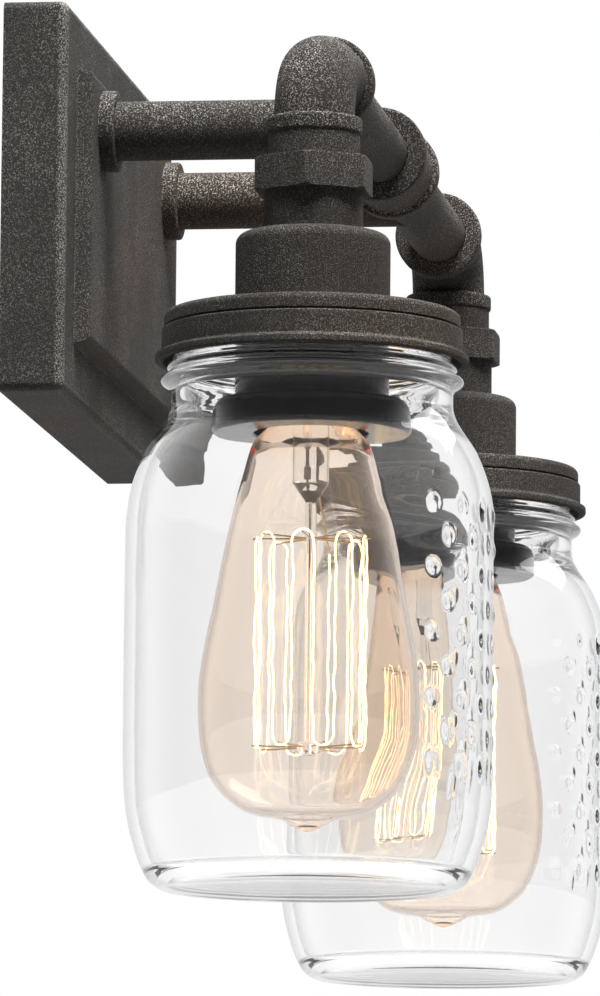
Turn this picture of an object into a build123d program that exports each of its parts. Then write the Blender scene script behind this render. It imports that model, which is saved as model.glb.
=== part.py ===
from build123d import *
from math import cos, dist, pi, sin
import os

# Two-light vanity fixture made of pipe fittings, with a screw-on glass jar round each lamp.
# Millimetres, +Z up. The wall is the plane Y = 0 and the room is on the -Y side.
# The origin is the middle of the mounting strap's back face, on the wall.

# Clearances
thread_gap = 0.15
hole_gap = 0.4
seat_gap = 0.1
running_gap = 0.3

# Wall pan with its raised panel
pan_width = 206.0
pan_height = 116.5
pan_depth = 19.3
pan_wall = 1.2
pan_corner = 2.5
pan_edge = 2.6
panel_side_border = 17.75
panel_end_border = 16.55
panel_width = pan_width - 2 * panel_side_border
panel_height = pan_height - 2 * panel_end_border
panel_rise = 4.8
panel_draft = 20.0
panel_edge = 1.6

# Mounting strap and the fasteners of the pan
strap_width = 22.0
strap_thick = 1.8
strap_ear = 14.0
strap_bend = 1.6
strap_fit = 0.2
box_screw_spacing = 88.9
box_slot_width = 4.6
box_slot_length = 14.0
pan_screw_radius = 2.0
pan_screw_length = 9.0
pan_screw_head_radius = 4.0
pan_screw_head = 2.6
pan_screw_from_wall = 8.5
pan_screw_x = 6.0
ground_screw_radius = 2.0
ground_screw_flats = 8.0
ground_screw_head = 3.0
ground_screw_level = -24.0

# Arms and bar, all of one tube
tube_radius = 8.9
tube_bore = 6.4
arm_inset = 23.05
arm_below_edge = 15.8
arm_x = panel_width / 2 - arm_inset
arm_level = panel_height / 2 - arm_below_edge
arm_tail = 9.0
flange_radius = 12.2
flange_thick = 4.4
flange_edge = 0.8
arm_nut_flats = 25.0
arm_nut_thick = 4.5
bar_reach = 101.3

# Coupling in the middle of the bar
coupling_length = 37.0
coupling_radius = 12.8
coupling_band_radius = 14.4
coupling_band = 5.5
coupling_socket = 15.0

# Elbows at the ends of the bar
lamp_x = 162.2
elbow_radius = 11.6
elbow_bend = 16.0
elbow_run = 30.4
elbow_drop = 20.3
elbow_band_radius = 13.8
elbow_band = 5.0
elbow_socket = 9.0
band_edge = 1.0

# Hex union and spacer under each elbow
union_neck_radius = 13.2
union_neck = 7.0
union_hex_flats = 31.7
union_hex = 9.9
union_chamfer = 1.2
union_bore = 4.2
spacer_radius = 14.2
spacer_height = 11.7

# Threaded rod and nut that draw the stack together
rod_radius = 4.9
rod_bore = 3.4
rod_in_union = 8.0
rod_in_socket = 8.0
rod_nut_flats = 15.0
rod_nut = 3.2

# Socket cup
cup_radius = 22.2
cup_height = 23.0
cup_wall = 1.6
cup_edge = 3.2

# Jar lid
lid_height = 14.6
lid_wall = 1.1
lid_band_radius = 42.4
lid_band = 4.3
lid_groove = 0.9
lid_skirt_radius = 43.1
lid_rim_radius = 44.9
lid_rim = 2.9
lid_edge = 1.8

# Lamp socket and its retaining ring
socket_radius = 18.9
socket_length = 42.0
socket_hub_radius = 9.0
socket_hub = 6.0
socket_well = 25.5
shell_inner = 13.35
shell_wall = 0.5
shell_short = 0.5
shell_eye = 9.0
contact_radius = 3.5
contact_thick = 1.0
ring_hub_wall = 3.0
ring_radius = 28.8
ring_rim = 8.6
ring_wall = 3.0
ring_mouth = 16.4
ring_edge = 1.6
ring_below_socket = 5.1

# Jar
gasket_thick = 2.0
gasket_width = 3.2
jar_height = 162.1
jar_finish_radius = 39.8
jar_neck_radius = 40.4
jar_neck_wall = 4.0
jar_bead_radius = 43.4
jar_bead_drop = 16.0
jar_bead = 7.4
jar_shoulder_drop = 23.3
jar_shoulder = 39.7
jar_body_radius = 52.8
jar_wall = 3.2
jar_heel = 48.0
jar_foot_radius = 42.0
jar_push_up = 2.5
jar_floor = 5.0
jar_rim_edge = 1.2
# Shares of the jar's swelling and of the shoulder's height, and of its drawing-in and the heel's height
shoulder_shares = [(0, 0), (0.61, 0.38), (0.9, 0.65), (1, 1)]
heel_shares = [(0, 0), (0.065, 0.48), (0.28, 0.73), (0.65, 0.935), (1, 1)]
inner_heel_share = (0.42, 0.8)

# Filament lamp
lamp_to_floor = 11.6
lamp_radius = 32.0
lamp_glass = 0.8
lamp_base_radius = 13.05
lamp_base_length = 26.4
lamp_base_wall = 0.4
lamp_button_radius = 4.8
lamp_button = 1.6
lamp_cone = 3.4
lamp_seal = 12.0
# Shares of the lamp's radius and of the glass below the base: the pear, then the nib at the tip
pear_shares = [
    (0.54, 0.064),
    (0.71, 0.237),
    (0.85, 0.434),
    (0.984, 0.66),
    (0.903, 0.852),
    (0.616, 0.943),
    (0.28, 0.967),
]
nib_share = (0.14, 0.986)
pear_start = Vector(0.3, -1)
pear_end = Vector(-1, -0.12)
pear_steps = 20
stem_radius = 5.2
stem_length = 17.0
core_radius = 1.5
core_to_tip = 21.7
core_button = 3.6
core_button_radius = 3.4
wire_radius = 0.25
cage_radius = 15.4
cage_top = 35.1
cage_above_core_foot = 4.5
cage_runs = 16
strand_radius = 0.3
gap_samples = 800

# Wiring in the tubes and the pan
lead_radius = 1.1
lead_spacing = 3.0
lead_bend = 7.0
lead_elbow_bend = 14.5
lead_from_wall = 8.0
connector_x = 16.0
connector_mouth = 6.0
connector_length = 22.0
connector_radius = 5.4
connector_tip = 3.4
connector_depth = 7.0
ground_wire_radius = 0.8
ground_connector_from_wall = 13.0

# Levels of the stack under each elbow, from the bar downwards
elbow_foot = arm_level - elbow_drop
union_shoulder = elbow_foot - union_neck
union_foot = union_shoulder - union_hex
cup_top = union_foot - spacer_height
cup_ceiling = cup_top - cup_wall
lid_top = cup_top - cup_height
lid_ceiling = lid_top - lid_wall
lid_foot = lid_top - lid_height
socket_top = cup_ceiling - rod_nut
socket_shoulder = socket_top - socket_hub
socket_mouth = socket_shoulder - socket_length
well_ceiling = socket_mouth + socket_well
ring_foot = socket_mouth - ring_below_socket
jar_top = lid_ceiling - gasket_thick
jar_foot = jar_top - jar_height
lamp_top = well_ceiling - shell_wall - contact_thick - seat_gap
lamp_base_foot = lamp_top - lamp_base_length
lamp_tip = jar_foot + jar_floor + lamp_to_floor
glass_length = lamp_base_foot - lamp_tip

# Places along Y
panel_front = -(pan_depth + panel_rise)
panel_back = panel_front + pan_wall
bar_y = -bar_reach

SIDES = {"left": -1, "right": 1}
os.makedirs("parts", exist_ok=True)


def keep(piece, name):
    piece.part.label = name
    export_step(piece.part, f"parts/{name}.step")


def stack_plane(sign):
    """Upright plane through the axis of one stack, with its x across and its y up."""
    return Plane(origin=(sign * lamp_x, bar_y, 0), x_dir=(1, 0, 0), z_dir=(0, -1, 0))


def stack_axis(sign):
    return Axis((sign * lamp_x, bar_y, 0), (0, 0, 1))


def stack_level(sign, level):
    """Level plane square to the axis of one stack."""
    return Plane(origin=(sign * lamp_x, bar_y, level))


def inset(outline, wall):
    """The outline moved inwards by the wall, square to the line between each point's neighbours."""
    moved = []
    for index, point in enumerate(outline):
        before = outline[max(index - 1, 0)]
        after = outline[min(index + 1, len(outline) - 1)]
        run = (after - before).normalized()
        moved.append(point + Vector(run.Y, -run.X) * wall)
    return moved


# Wall pan: pressed sheet, open at the back, with two arm holes in the panel and two screw holes on top
pan_screw_places = [(-pan_screw_x, -pan_screw_from_wall), (pan_screw_x, -pan_screw_from_wall)]


def pan_form(shrink):
    """The pan's box with its drafted panel, made smaller all round by the given amount."""
    with BuildPart() as form:
        with BuildSketch(Plane.XZ):
            RectangleRounded(pan_width - 2 * shrink, pan_height - 2 * shrink, pan_corner - shrink)
        extrude(amount=pan_depth - shrink)
        fillet(form.faces().sort_by(Axis.Y)[0].edges(), pan_edge - shrink)
        with BuildSketch(Plane.XZ.offset(pan_depth - shrink)):
            Rectangle(panel_width - 2 * shrink, panel_height - 2 * shrink)
        extrude(amount=panel_rise, taper=panel_draft)
        fillet(form.faces().sort_by(Axis.Y)[0].edges(), panel_edge - shrink)
    return form.part


pan_outside = pan_form(0)
pan_inside = pan_form(pan_wall)
with BuildPart() as wall_pan:
    add(pan_outside)
    add(pan_inside, mode=Mode.SUBTRACT)
    with BuildSketch(Plane.XZ.offset(pan_depth)):
        with Locations((-arm_x, arm_level), (arm_x, arm_level)):
            Circle(tube_radius + hole_gap)
    extrude(amount=panel_rise, mode=Mode.SUBTRACT)
    with BuildSketch(Plane.XY.offset(pan_height / 2)):
        with Locations(*pan_screw_places):
            Circle(pan_screw_radius + hole_gap)
    extrude(amount=-2 * pan_wall, mode=Mode.SUBTRACT)
keep(wall_pan, "wall_pan")

# Mounting strap: bent steel strip with two slots for the outlet box screws and an ear at each end
strap_half = pan_height / 2 - pan_wall - strap_fit
strap_outer_bend = strap_bend + strap_thick
with BuildPart() as mounting_strap:
    with BuildSketch(Plane.YZ):
        with BuildLine():
            FilletPolyline(
                (-strap_ear, strap_half),
                (0, strap_half),
                (0, -strap_half),
                (-strap_ear, -strap_half),
                (-strap_ear, strap_thick - strap_half),
                (-strap_thick, strap_thick - strap_half),
                (-strap_thick, strap_half - strap_thick),
                (-strap_ear, strap_half - strap_thick),
                radius=[0, strap_outer_bend, strap_outer_bend, 0, 0, strap_bend, strap_bend, 0],
                close=True,
            )
        make_face()
    extrude(amount=strap_width / 2, both=True)
    with BuildSketch(Plane.XZ):
        with Locations((0, -box_screw_spacing / 2), (0, box_screw_spacing / 2)):
            SlotOverall(box_slot_length, box_slot_width, rotation=90)
        with Locations((0, ground_screw_level)):
            Circle(ground_screw_radius + thread_gap)
    extrude(amount=strap_thick, mode=Mode.SUBTRACT)
    with BuildSketch(Plane.XY.offset(strap_half)):
        with Locations(*pan_screw_places):
            Circle(pan_screw_radius + thread_gap)
    extrude(amount=-strap_thick, mode=Mode.SUBTRACT)
keep(mounting_strap, "mounting_strap")

# Pan screws: two round heads on the top edge of the pan, screwed down into the strap's upper ear
with BuildPart() as pan_screws:
    with BuildSketch(Plane.XY.offset(pan_height / 2)):
        with Locations(*pan_screw_places):
            Circle(pan_screw_head_radius)
    extrude(amount=pan_screw_head)
    fillet(pan_screws.edges().group_by(Axis.Z)[-1], pan_screw_head / 2)
    with BuildSketch(Plane.XY.offset(pan_height / 2)):
        with Locations(*pan_screw_places):
            Circle(pan_screw_radius)
    extrude(amount=-pan_screw_length)
keep(pan_screws, "pan_screws")

# Ground screw: hex head that clamps the ground wire against the strap
ground_wire_y = -(strap_thick + seat_gap + ground_wire_radius)
ground_head_y = ground_wire_y - ground_wire_radius - seat_gap
with BuildPart() as ground_screw:
    with BuildSketch(Plane.XZ):
        with Locations((0, ground_screw_level)):
            Circle(ground_screw_radius)
    extrude(amount=-ground_head_y)
    with BuildSketch(Plane.XZ.offset(-ground_head_y)):
        with Locations((0, ground_screw_level)):
            RegularPolygon(ground_screw_flats / 2, 6, major_radius=False)
    extrude(amount=ground_screw_head)
keep(ground_screw, "ground_screw")

# Ground wire: up from under the screw head, over and down into its connector
ground_wire_x = ground_screw_radius + ground_wire_radius + seat_gap
ground_turn = (ground_connector_from_wall + ground_wire_y) / 2
ground_crest = connector_mouth + ground_turn
with BuildPart() as ground_wire:
    with BuildLine() as ground_route:
        rise = Line(
            (ground_wire_x, ground_wire_y, ground_screw_level - ground_screw_flats / 2),
            (ground_wire_x, ground_wire_y, ground_crest),
        )
        over = ThreePointArc(
            rise @ 1,
            (ground_wire_x, ground_wire_y - ground_turn, ground_crest + ground_turn),
            (ground_wire_x, -ground_connector_from_wall, ground_crest),
        )
        Line(over @ 1, (ground_wire_x, -ground_connector_from_wall, connector_mouth - connector_depth))
    with BuildSketch(Plane(origin=rise @ 0, z_dir=(0, 0, 1))):
        Circle(ground_wire_radius)
    sweep(path=ground_route.line)
keep(ground_wire, "ground_wire")

# Wire connectors: tapered caps twisted over the ends of the leads and of the ground wire
connector_places = {
    (-connector_x, -lead_from_wall): lead_spacing / 2 + lead_radius,
    (connector_x, -lead_from_wall - lead_spacing): lead_spacing / 2 + lead_radius,
    (ground_wire_x, -ground_connector_from_wall): ground_wire_radius,
}
with BuildPart() as wire_connectors:
    for (x, y), bundle in connector_places.items():
        mouth = Plane(origin=(x, y, connector_mouth))
        with BuildSketch(mouth):
            Circle(connector_radius)
        with BuildSketch(mouth.offset(-connector_length)):
            Circle(connector_tip)
        loft()
        with BuildSketch(mouth):
            Circle(bundle + running_gap)
        extrude(amount=-(connector_depth + seat_gap), mode=Mode.SUBTRACT)
keep(wire_connectors, "wire_connectors")

# Arm lock nuts: behind the panel, on the threaded tails of the arms
with BuildPart() as arm_nuts:
    with BuildSketch(Plane.XZ.offset(-panel_back - arm_nut_thick)):
        with Locations((-arm_x, arm_level), (arm_x, arm_level)):
            RegularPolygon(arm_nut_flats / 2, 6, major_radius=False)
            Circle(tube_radius + thread_gap, mode=Mode.SUBTRACT)
    extrude(amount=arm_nut_thick)
keep(arm_nuts, "arm_nuts")

# Rod nuts: under the ceiling of each cup, drawing cup and spacer up against the union
with BuildPart() as rod_nuts:
    with BuildSketch(Plane.XY.offset(socket_top)):
        with Locations((-lamp_x, bar_y), (lamp_x, bar_y)):
            RegularPolygon(rod_nut_flats / 2, 6, major_radius=False)
            Circle(rod_radius + thread_gap, mode=Mode.SUBTRACT)
    extrude(amount=rod_nut)
keep(rod_nuts, "rod_nuts")

# Bar coupling: sleeve with a band at each end and a stop for the tubes in the middle
with BuildPart() as bar_coupling:
    coupling_plane = Plane(origin=(-coupling_length / 2, bar_y, arm_level), z_dir=(1, 0, 0))
    with BuildSketch(coupling_plane):
        Circle(coupling_radius)
    extrude(amount=coupling_length)
    with BuildSketch(coupling_plane, coupling_plane.offset(coupling_length - coupling_band)):
        Circle(coupling_band_radius)
    extrude(amount=coupling_band)
    bands = bar_coupling.edges().filter_by(GeomType.CIRCLE)
    fillet(bands.filter_by(lambda edge: abs(edge.radius - coupling_band_radius) < thread_gap), band_edge)
    with BuildSketch(coupling_plane):
        Circle(tube_bore)
    extrude(amount=coupling_length, mode=Mode.SUBTRACT)
    with BuildSketch(coupling_plane, coupling_plane.offset(coupling_length - coupling_socket)):
        Circle(tube_radius + thread_gap)
    extrude(amount=coupling_socket, mode=Mode.SUBTRACT)
keep(bar_coupling, "bar_coupling")

for side, sign in SIDES.items():
    # Arm tube: through the panel at the wall, fish-mouthed to sit on the bar
    with BuildPart() as arm_tube:
        with BuildSketch(Plane.XZ.offset(-panel_back - arm_tail)):
            with Locations((sign * arm_x, arm_level)):
                Circle(tube_radius)
                Circle(tube_bore, mode=Mode.SUBTRACT)
        extrude(amount=bar_reach + panel_back + arm_tail)
        with BuildSketch(Plane(origin=(sign * arm_x, bar_y, arm_level), z_dir=(1, 0, 0))):
            Circle(tube_radius + seat_gap)
        extrude(amount=2 * tube_radius, both=True, mode=Mode.SUBTRACT)
    keep(arm_tube, f"arm_tube_{side}")

    # Arm flange: threaded collar tight against the front of the panel
    with BuildPart() as arm_flange:
        with BuildSketch(Plane.XZ.offset(-panel_front)):
            with Locations((sign * arm_x, arm_level)):
                Circle(flange_radius)
        extrude(amount=flange_thick)
        fillet(arm_flange.edges().group_by(Axis.Y)[0], flange_edge)
        with BuildSketch(Plane.XZ.offset(-panel_front)):
            with Locations((sign * arm_x, arm_level)):
                Circle(tube_radius + thread_gap)
        extrude(amount=flange_thick, mode=Mode.SUBTRACT)
    keep(arm_flange, f"arm_flange_{side}")

    # Bar tube: from the coupling to the elbow, with a side hole for the leads behind the arm
    bar_inner = coupling_length / 2 - coupling_socket
    bar_outer = lamp_x - elbow_run + elbow_socket
    with BuildPart() as bar_tube:
        with BuildSketch(Plane(origin=(sign * bar_inner, bar_y, arm_level), z_dir=(sign, 0, 0))):
            Circle(tube_radius)
            Circle(tube_bore, mode=Mode.SUBTRACT)
        extrude(amount=bar_outer - bar_inner)
        with BuildSketch(Plane.XZ.offset(bar_reach)):
            with Locations((sign * arm_x, arm_level)):
                Circle(tube_bore - seat_gap)
        extrude(amount=-2 * tube_radius, mode=Mode.SUBTRACT)
    keep(bar_tube, f"bar_tube_{side}")

    # Elbow: cast quarter bend with a band round each mouth
    elbow_start = (sign * (lamp_x - elbow_run), bar_y, arm_level)
    elbow_corner = (sign * lamp_x, bar_y, arm_level)
    elbow_end = (sign * lamp_x, bar_y, elbow_foot)
    run_mouth = Plane(origin=elbow_start, z_dir=(sign, 0, 0))
    drop_mouth = Plane(origin=elbow_end, z_dir=(0, 0, 1))
    with BuildPart() as elbow:
        with BuildLine() as elbow_line:
            FilletPolyline(elbow_start, elbow_corner, elbow_end, radius=elbow_bend)
        with BuildSketch(run_mouth):
            Circle(elbow_radius)
        sweep(path=elbow_line.line)
        with BuildSketch(run_mouth, drop_mouth):
            Circle(elbow_band_radius)
        extrude(amount=elbow_band)
        bands = elbow.edges().filter_by(GeomType.CIRCLE)
        fillet(bands.filter_by(lambda edge: abs(edge.radius - elbow_band_radius) < thread_gap), band_edge)
        with BuildSketch(run_mouth):
            Circle(tube_bore)
        sweep(path=elbow_line.line, mode=Mode.SUBTRACT)
        with BuildSketch(run_mouth, drop_mouth):
            Circle(tube_radius + thread_gap)
        extrude(amount=elbow_socket, mode=Mode.SUBTRACT)
    keep(elbow, f"elbow_{side}")

    # Hex union: spigot in the elbow, round neck, chamfered hexagon
    with BuildPart() as hex_union:
        with BuildSketch(stack_level(sign, union_foot)):
            RegularPolygon(union_hex_flats / 2, 6, major_radius=False)
        extrude(amount=union_hex)
        with BuildSketch(stack_plane(sign)):
            with BuildLine():
                corner = union_hex_flats / 2 / cos(pi / 6)
                Polyline(
                    (0, union_foot),
                    (corner - union_chamfer, union_foot),
                    (corner, union_foot + union_chamfer / 2),
                    (corner, union_shoulder - union_chamfer / 2),
                    (corner - union_chamfer, union_shoulder),
                    (0, union_shoulder),
                    close=True,
                )
            make_face()
        revolve(axis=stack_axis(sign), mode=Mode.INTERSECT)
        with BuildSketch(stack_level(sign, union_shoulder)):
            Circle(union_neck_radius)
        extrude(amount=union_neck)
        with BuildSketch(stack_level(sign, elbow_foot)):
            Circle(tube_radius)
        extrude(amount=elbow_socket)
        with BuildSketch(stack_level(sign, union_foot)):
            Circle(union_bore)
        extrude(amount=union_hex + union_neck + elbow_socket, mode=Mode.SUBTRACT)
        with BuildSketch(stack_level(sign, union_foot)):
            Circle(rod_radius + thread_gap)
        extrude(amount=rod_in_union + seat_gap, mode=Mode.SUBTRACT)
    keep(hex_union, f"hex_union_{side}")

    # Spacer: turned sleeve between the union and the cup
    with BuildPart() as spacer:
        with BuildSketch(stack_level(sign, cup_top)):
            Circle(spacer_radius)
            Circle(rod_radius + hole_gap, mode=Mode.SUBTRACT)
        extrude(amount=spacer_height)
    keep(spacer, f"spacer_{side}")

    # Threaded rod: hollow, from the union down through the cup into the socket
    with BuildPart() as threaded_rod:
        rod_foot = socket_top - rod_in_socket
        with BuildSketch(stack_level(sign, rod_foot)):
            Circle(rod_radius)
            Circle(rod_bore, mode=Mode.SUBTRACT)
        extrude(amount=union_foot + rod_in_union - rod_foot)
    keep(threaded_rod, f"threaded_rod_{side}")

    # Socket cup: spun cup with a rounded top edge, standing mouth down on the lid
    with BuildPart() as socket_cup:
        with BuildSketch(stack_plane(sign)):
            with BuildLine():
                FilletPolyline(
                    (rod_radius + hole_gap, cup_top),
                    (cup_radius, cup_top),
                    (cup_radius, lid_top),
                    (cup_radius - cup_wall, lid_top),
                    (cup_radius - cup_wall, cup_ceiling),
                    (rod_radius + hole_gap, cup_ceiling),
                    radius=[0, cup_edge, 0, 0, cup_edge - cup_wall, 0],
                    close=True,
                )
            make_face()
        revolve(axis=stack_axis(sign))
    keep(socket_cup, f"socket_cup_{side}")

    # Jar lid: spun cap with a banded skirt, a groove and a rolled rim, clamped under the cup
    band_foot = lid_top - lid_band
    rim_top = lid_foot + lid_rim
    fold = lid_groove / 3
    roll = lid_wall / 2
    with BuildPart() as jar_lid:
        with BuildSketch(stack_plane(sign)):
            with BuildLine():
                FilletPolyline(
                    (socket_radius + hole_gap, lid_top),
                    (lid_band_radius, lid_top),
                    (lid_band_radius, band_foot),
                    (lid_band_radius - lid_groove, band_foot - lid_groove / 2),
                    (lid_skirt_radius, band_foot - lid_groove),
                    (lid_skirt_radius, rim_top),
                    (lid_rim_radius, rim_top - lid_groove),
                    (lid_rim_radius, lid_foot),
                    (lid_rim_radius - 2 * lid_wall, lid_foot),
                    (lid_band_radius - lid_groove - lid_wall, rim_top),
                    (lid_band_radius - lid_groove - lid_wall, lid_ceiling),
                    (socket_radius + hole_gap, lid_ceiling),
                    radius=[0, lid_edge, 0, 0, fold, 0, fold, roll, 0, 0, roll, 0],
                    close=True,
                )
            make_face()
        revolve(axis=stack_axis(sign))
    keep(jar_lid, f"jar_lid_{side}")

    # Socket body: moulded barrel with a threaded hub on top and the lamp well in its mouth
    with BuildPart() as socket_body:
        with BuildSketch(stack_plane(sign)):
            with BuildLine():
                Polyline(
                    (rod_radius + thread_gap, socket_top),
                    (socket_hub_radius, socket_top),
                    (socket_hub_radius, socket_shoulder),
                    (socket_radius, socket_shoulder),
                    (socket_radius, socket_mouth),
                    (shell_inner + shell_wall + seat_gap, socket_mouth),
                    (shell_inner + shell_wall + seat_gap, well_ceiling),
                    (0, well_ceiling),
                    (0, socket_top - rod_in_socket - seat_gap),
                    (rod_radius + thread_gap, socket_top - rod_in_socket - seat_gap),
                    close=True,
                )
            make_face()
        revolve(axis=stack_axis(sign))
    keep(socket_body, f"socket_body_{side}")

    # Screw shell: drawn brass cup in the well, with an eye in its floor round the centre contact
    with BuildPart() as screw_shell:
        with BuildSketch(stack_plane(sign)):
            with BuildLine():
                Polyline(
                    (shell_inner, socket_mouth + shell_short),
                    (shell_inner + shell_wall, socket_mouth + shell_short),
                    (shell_inner + shell_wall, well_ceiling),
                    (shell_eye, well_ceiling),
                    (shell_eye, well_ceiling - shell_wall),
                    (shell_inner, well_ceiling - shell_wall),
                    close=True,
                )
            make_face()
        revolve(axis=stack_axis(sign))
    keep(screw_shell, f"screw_shell_{side}")

    # Centre contact: brass disc in the middle of the well's ceiling
    with BuildPart() as centre_contact:
        with BuildSketch(stack_level(sign, well_ceiling)):
            Circle(contact_radius)
        extrude(amount=-(shell_wall + contact_thick))
    keep(centre_contact, f"centre_contact_{side}")

    # Retaining ring: moulded, screwed up the socket barrel to clamp the lid against the cup
    ring_hub_radius = socket_radius + thread_gap + ring_hub_wall
    ring_floor = ring_foot + ring_wall
    with BuildPart() as retaining_ring:
        with BuildSketch(stack_plane(sign)):
            with BuildLine():
                FilletPolyline(
                    (socket_radius + thread_gap, lid_ceiling),
                    (ring_hub_radius, lid_ceiling),
                    (ring_hub_radius, ring_foot + ring_rim),
                    (ring_radius, ring_foot + ring_rim),
                    (ring_radius, ring_foot),
                    (ring_mouth, ring_foot),
                    (ring_mouth, ring_floor),
                    (socket_radius + thread_gap, ring_floor),
                    radius=[0, 0, ring_edge, ring_edge, ring_edge, ring_edge / 2, ring_edge / 2, 0],
                    close=True,
                )
            make_face()
        revolve(axis=stack_axis(sign))
    keep(retaining_ring, f"retaining_ring_{side}")

    # Jar gasket: rubber ring on the rim of the jar, pressed up against the lid
    with BuildPart() as jar_gasket:
        with BuildSketch(stack_level(sign, jar_top)):
            Circle(jar_finish_radius)
            Circle(jar_finish_radius - gasket_width, mode=Mode.SUBTRACT)
        extrude(amount=gasket_thick)
    keep(jar_gasket, f"jar_gasket_{side}")

    # Jar: blown glass with a beaded neck, a round shoulder, a drawn-in heel and a pushed-up foot
    neck_inner = jar_neck_radius - jar_neck_wall
    bead_level = jar_top - jar_bead_drop
    shoulder_top = jar_top - jar_shoulder_drop
    heel_top = jar_foot + jar_heel
    swell = jar_body_radius - jar_neck_radius
    draw_in = jar_body_radius - jar_foot_radius
    shoulder = [
        (jar_neck_radius + out * swell, shoulder_top - down * jar_shoulder) for out, down in shoulder_shares
    ]
    heel = [(jar_body_radius - drawn * draw_in, heel_top - down * jar_heel) for drawn, down in heel_shares]
    inner_drawn, inner_down = inner_heel_share
    inner_heel = (jar_body_radius - jar_wall - inner_drawn * draw_in, heel_top - inner_down * jar_heel)
    inner_shoulder = [(radius - jar_wall, level) for radius, level in shoulder]
    inner_shoulder[0] = (neck_inner, shoulder_top)
    floor_level = jar_foot + jar_floor
    with BuildPart() as jar:
        with BuildSketch(stack_plane(sign)):
            with BuildLine():
                rim = FilletPolyline(
                    (neck_inner, shoulder_top),
                    (neck_inner, jar_top),
                    (jar_finish_radius, jar_top),
                    (jar_finish_radius, lid_foot),
                    (jar_neck_radius, lid_foot),
                    (jar_neck_radius, bead_level + jar_bead / 2),
                    radius=[jar_rim_edge / 2, jar_rim_edge, 0, 0],
                )
                bead = ThreePointArc(
                    rim @ 1,
                    (jar_bead_radius, bead_level),
                    (jar_neck_radius, bead_level - jar_bead / 2),
                )
                Line(bead @ 1, shoulder[0])
                Spline(*shoulder, tangents=((0, -1), (0, -1)))
                Line(shoulder[-1], heel[0])
                Spline(*heel, tangents=((0, -1), (-1, -0.5)))
                foot = Line(heel[-1], (jar_foot_radius - jar_push_up, jar_foot))
                crown = Line((0, floor_level), (0, jar_foot + jar_push_up))
                TangentArc(crown @ 1, foot @ 1, tangent=(1, 0))
                floor_edge = Line((0, floor_level), (jar_foot_radius - 2 * jar_wall, floor_level))
                wall_foot = (jar_body_radius - jar_wall, heel_top)
                Spline(
                    floor_edge @ 1,
                    inner_heel,
                    wall_foot,
                    tangents=((1, 0.1), (0, 1)),
                )
                Line(wall_foot, inner_shoulder[-1])
                Spline(*reversed(inner_shoulder), tangents=((0, 1), (0, 1)))
            make_face()
        revolve(axis=stack_axis(sign))
    keep(jar, f"jar_{side}")

    # Lamp contact button: solder cap on the tip of the lamp base
    with BuildPart() as lamp_button_cap:
        with BuildSketch(stack_level(sign, lamp_top)):
            Circle(lamp_button_radius)
        extrude(amount=-lamp_button)
        fillet(lamp_button_cap.edges().group_by(Axis.Z)[-1], lamp_button / 2)
    keep(lamp_button_cap, f"lamp_button_{side}")

    # Lamp insulator: black glass cone between the button and the shell
    cone_top = lamp_top - lamp_button
    cone_foot = cone_top - lamp_cone
    with BuildPart() as lamp_insulator:
        with BuildSketch(stack_level(sign, cone_top)):
            Circle(lamp_button_radius + lamp_base_wall)
        with BuildSketch(stack_level(sign, cone_foot)):
            Circle(lamp_base_radius - lamp_base_wall - seat_gap)
        loft()
    keep(lamp_insulator, f"lamp_insulator_{side}")

    # Lamp base shell: brass sleeve round the insulator and the neck of the glass
    with BuildPart() as lamp_base:
        with BuildSketch(stack_level(sign, cone_foot + lamp_cone / 4)):
            Circle(lamp_base_radius)
            Circle(lamp_base_radius - lamp_base_wall, mode=Mode.SUBTRACT)
        extrude(amount=-(cone_foot + lamp_cone / 4 - lamp_base_foot))
    keep(lamp_base, f"lamp_base_{side}")

    # Lamp glass: pear envelope, sealed into the base, with a drawn-off nib at the tip
    neck_radius = lamp_base_radius - lamp_base_wall - seat_gap
    pear = [(lamp_radius * across, lamp_base_foot - glass_length * along) for across, along in pear_shares]
    nib_across, nib_along = nib_share
    nib = (lamp_radius * nib_across, lamp_base_foot - glass_length * nib_along)
    hollow_floor = (0, pear[-1][1])
    hollow_neck = (neck_radius - lamp_glass, lamp_base_foot)
    with BuildPart() as lamp_glass_bulb:
        with BuildSketch(stack_plane(sign)):
            with BuildLine():
                neck = Polyline(
                    (neck_radius - lamp_glass, lamp_base_foot + lamp_seal),
                    (neck_radius, lamp_base_foot + lamp_seal),
                    (neck_radius, lamp_base_foot),
                )
                Spline(neck @ 1, pear[0], tangents=((1, -1), pear_start))
                skin = Spline(*pear, tangents=(pear_start, pear_end))
                Spline(pear[-1], nib, (0, lamp_tip), tangents=(pear_end, (-1, 0)))
                Line((0, lamp_tip), hollow_floor)
                hollow = inset([skin @ (step / pear_steps) for step in range(pear_steps + 1)], lamp_glass)
                Spline(hollow_floor, *reversed(hollow), tangents=((1, 0), -pear_start))
                Spline(hollow[0], hollow_neck, tangents=(-pear_start, (-1, 1)))
                Line(hollow_neck, neck @ 0)
            make_face()
        revolve(axis=stack_axis(sign))
    keep(lamp_glass_bulb, f"lamp_glass_{side}")

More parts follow.
